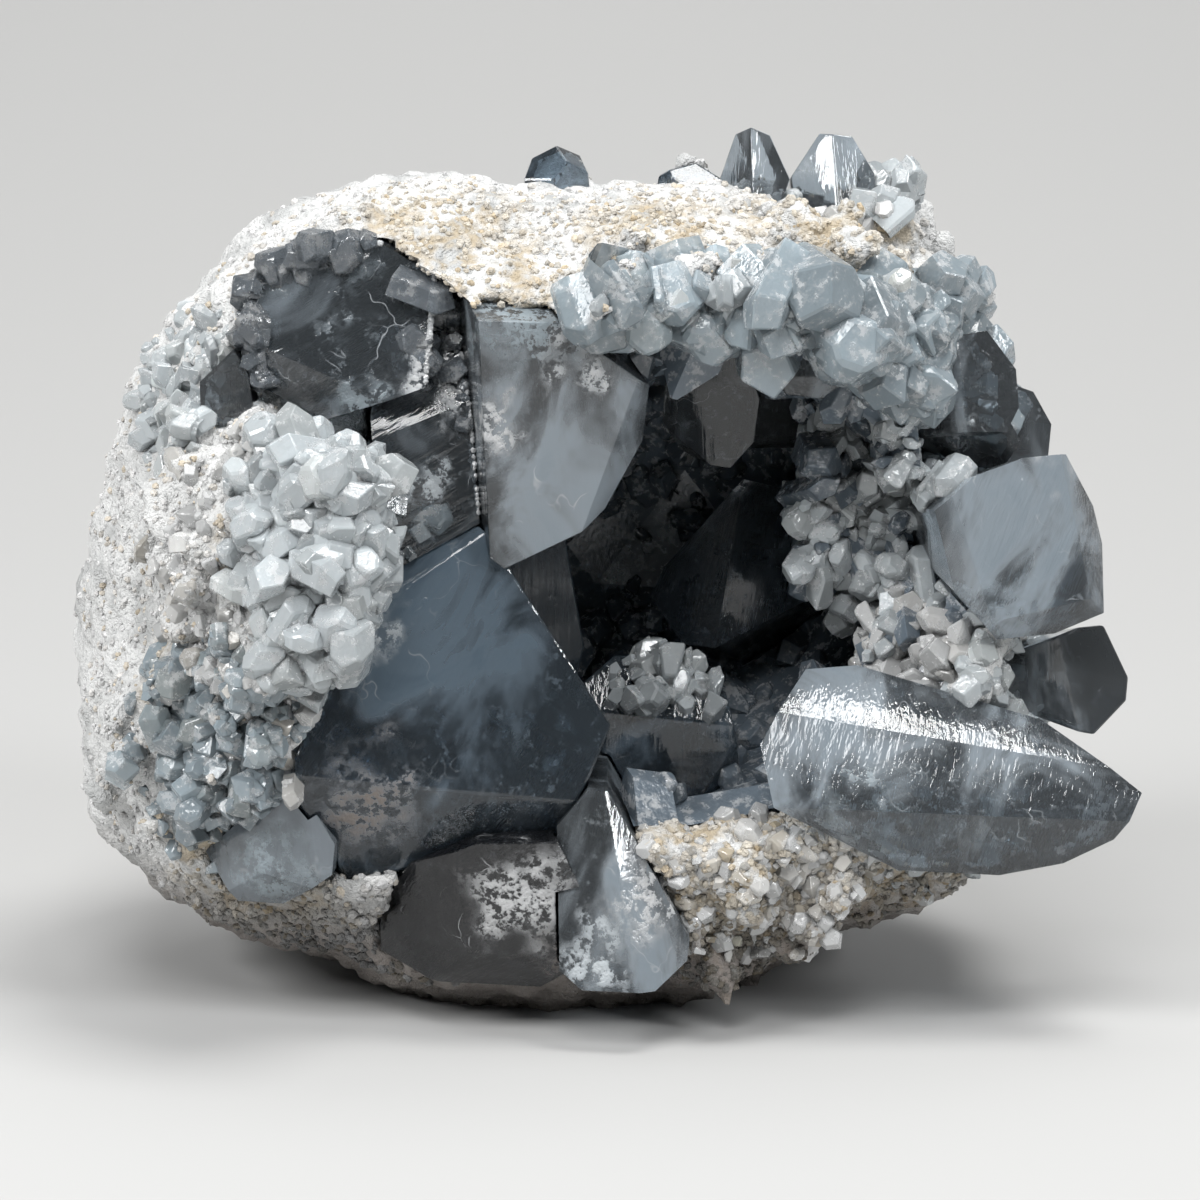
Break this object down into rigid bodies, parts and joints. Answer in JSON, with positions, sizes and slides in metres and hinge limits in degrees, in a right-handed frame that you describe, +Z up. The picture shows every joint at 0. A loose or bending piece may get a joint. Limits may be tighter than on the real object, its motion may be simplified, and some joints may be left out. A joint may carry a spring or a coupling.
{
  "type": "celestite geode",
  "caption": "Broken geode that stands on a small flat spot: a chalky rind around a hollow lined with pale blue crystals, with large dark and clear blades in its mouth.",
  "frame": {"origin": "middle of the small flat spot that the geode rests on", "axes": "+Z up, -Y out of the hollow's mouth towards the viewer, +X to the viewer's right along the geode's width"},
  "size_m": [0.1214, 0.0905, 0.0998],
  "materials": {
    "rind": "stands for chalky white to tan granular celestite rind, matt and pitted",
    "druse": "small translucent white to pale blue crystals with bright facets",
    "dark_crystal": "thick slate blue celestite, glossy faces over dark depths, with veils and cleavage cracks",
    "blue_crystal": "clear to milky pale blue celestite with striated glossy faces"
  },
  "bodies": {
    "root": {"rind": "rind", "hollow_crust": "druse", "great_crystal": "dark_crystal", "veined_crystals": "dark_crystal", "back_crystal": "dark_crystal", "shadow_crystal": "dark_crystal", "floor_crystal": "dark_crystal", "cleaved_crystal": "dark_crystal", "hanging_crystal": "blue_crystal", "roof_crystals": "blue_crystal", "pale_block_crystal": "blue_crystal", "shoulder_crystals": "blue_crystal", "right_crystal": "blue_crystal", "right_lower_crystal": "blue_crystal", "blade_crystal": "blue_crystal", "front_shard": "blue_crystal", "lower_left_crystal": "blue_crystal", "left_inner_crystal": "blue_crystal", "top_left_crystal": "blue_crystal", "top_right_crystal": "blue_crystal"}
  },
  "joints": []
}
